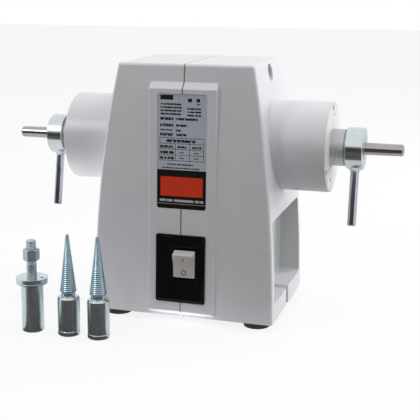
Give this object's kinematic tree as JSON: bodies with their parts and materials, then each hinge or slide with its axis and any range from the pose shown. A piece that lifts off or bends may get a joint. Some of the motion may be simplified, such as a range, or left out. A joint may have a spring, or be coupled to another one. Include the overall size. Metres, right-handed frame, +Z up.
{
  "type": "polishing machine",
  "caption": "Two-ended bench polishing motor in a split cast housing, with lever-release spindle ends and loose push-on spindles.",
  "frame": {"origin": "on the bench, under the middle of the box that holds the machine and its loose spindles", "axes": "+X along the motor spindle to the right as seen from the switch side, +Y to the back, +Z up"},
  "size_m": [0.4, 0.215, 0.252],
  "materials": {
    "paint": "semi-gloss light grey enamel",
    "cover_paint": "satin light grey enamel",
    "zinc": "bright zinc plate",
    "steel": "ground steel",
    "dark_steel": "black oxide",
    "alloy": "turned",
    "rotor_alloy": "cast",
    "label": "printed foil",
    "black_plastic": "fine grain",
    "grey_plastic": "moulded",
    "pale_plastic": "moulded",
    "rubber": "moulded",
    "copper": "varnished wire",
    "lamination": "stacked sheet",
    "brass": "bright",
    "sheet": "galvanised sheet"
  },
  "bodies": {
    "machine": {"left_housing": "paint", "right_housing": "paint", "base_plate": "sheet", "base_screws": "zinc", "rubber_feet": "rubber", "foot_screws": "zinc", "clamp_bolt": "dark_steel", "clamp_nut": "zinc", "rating_plate": "label", "switch_plate": "black_plastic", "switch_body": "black_plastic", "switch_terminals": "brass", "power_inlet": "black_plastic", "inlet_pins": "brass", "inlet_screws": "zinc", "run_capacitor": "pale_plastic", "capacitor_clip": "sheet", "terminal_block": "pale_plastic", "stator_core": "lamination", "stator_windings": "copper", "end_cover_screws": "zinc", "wave_spring": "steel", "bearing_shim": "steel", "left_barrel": "paint", "left_end_cover": "cover_paint", "left_threaded_neck": "alloy", "left_shaft_seal": "rubber", "left_bearing_outer": "steel", "right_barrel": "paint", "right_end_cover": "cover_paint", "right_threaded_neck": "alloy", "right_shaft_seal": "rubber", "right_bearing_outer": "steel"},
    "spindle": {"spindle_shaft": "steel", "rotor_core": "lamination", "rotor_end_rings": "rotor_alloy", "left_bearing_inner": "steel", "right_bearing_inner": "steel"},
    "left_balls": {"left_bearing_balls": "steel"},
    "right_balls": {"right_bearing_balls": "steel"},
    "left_thrust": {"left_thrust_ring": "zinc"},
    "right_thrust": {"right_thrust_ring": "zinc"},
    "left_release": {"left_release_collar": "zinc", "left_lever_rod": "zinc"},
    "right_release": {"right_release_collar": "zinc", "right_lever_rod": "zinc"},
    "rocker": {"switch_rocker": "grey_plastic"},
    "arbor": {"wheel_arbor": "zinc"},
    "washer": {"arbor_washer": "zinc"},
    "nut": {"arbor_nut": "zinc"},
    "left_taper": {"left_taper_spindle": "zinc"},
    "right_taper": {"right_taper_spindle": "zinc"}
  },
  "joints": [
    {"name": "spindle_spin", "type": "hinge", "parent": "machine", "child": "spindle", "pos_m": [0, 0.0377, 0.1705], "axis": [1, 0, 0], "continuous": true},
    {"name": "left_cage_spin", "type": "hinge", "parent": "machine", "child": "left_balls", "pos_m": [-0.115, 0.0377, 0.1705], "axis": [1, 0, 0], "continuous": true},
    {"name": "left_collar_travel", "type": "slide", "parent": "machine", "child": "left_thrust", "axis": [-1, 0, 0], "range_m": [0, 0.00122]},
    {"name": "left_lever_swing", "type": "hinge", "parent": "left_thrust", "child": "left_release", "pos_m": [-0.15475, 0.0377, 0.1705], "axis": [-1, 0, 0], "range_deg": [0, 110]},
    {"name": "right_cage_spin", "type": "hinge", "parent": "machine", "child": "right_balls", "pos_m": [0.115, 0.0377, 0.1705], "axis": [1, 0, 0], "continuous": true},
    {"name": "right_collar_travel", "type": "slide", "parent": "machine", "child": "right_thrust", "axis": [1, 0, 0], "range_m": [0, 0.00122]},
    {"name": "right_lever_swing", "type": "hinge", "parent": "right_thrust", "child": "right_release", "pos_m": [0.15475, 0.0377, 0.1705], "axis": [-1, 0, 0], "range_deg": [0, 110]},
    {"name": "rocker_tilt", "type": "hinge", "parent": "machine", "child": "rocker", "pos_m": [0.0047, -0.03376, 0.06119], "axis": [-1, 0, 0], "range_deg": [0, 24]},
    {"name": "arbor_lift", "type": "slide", "parent": "machine", "child": "arbor", "axis": [0, 0, 1], "range_m": [0, 0.12]},
    {"name": "left_taper_lift", "type": "slide", "parent": "machine", "child": "left_taper", "axis": [0, 0, 1], "range_m": [0, 0.12]},
    {"name": "right_taper_lift", "type": "slide", "parent": "machine", "child": "right_taper", "axis": [0, 0, 1], "range_m": [0, 0.12]},
    {"name": "washer_travel", "type": "slide", "parent": "arbor", "child": "washer", "axis": [0, 0, 1], "range_m": [0, 0.0065]},
    {"name": "nut_travel", "type": "slide", "parent": "arbor", "child": "nut", "axis": [0, 0, 1], "range_m": [-0.0095, 0.008]}
  ],
  "couplings": [
    {"joint": "left_cage_spin", "follows": "spindle_spin", "ratio": 0.38657},
    {"joint": "left_lever_swing", "follows": "left_collar_travel", "rad_per_m": 1570.8},
    {"joint": "right_cage_spin", "follows": "spindle_spin", "ratio": 0.38657},
    {"joint": "right_lever_swing", "follows": "right_collar_travel", "rad_per_m": 1570.8}
  ]
}
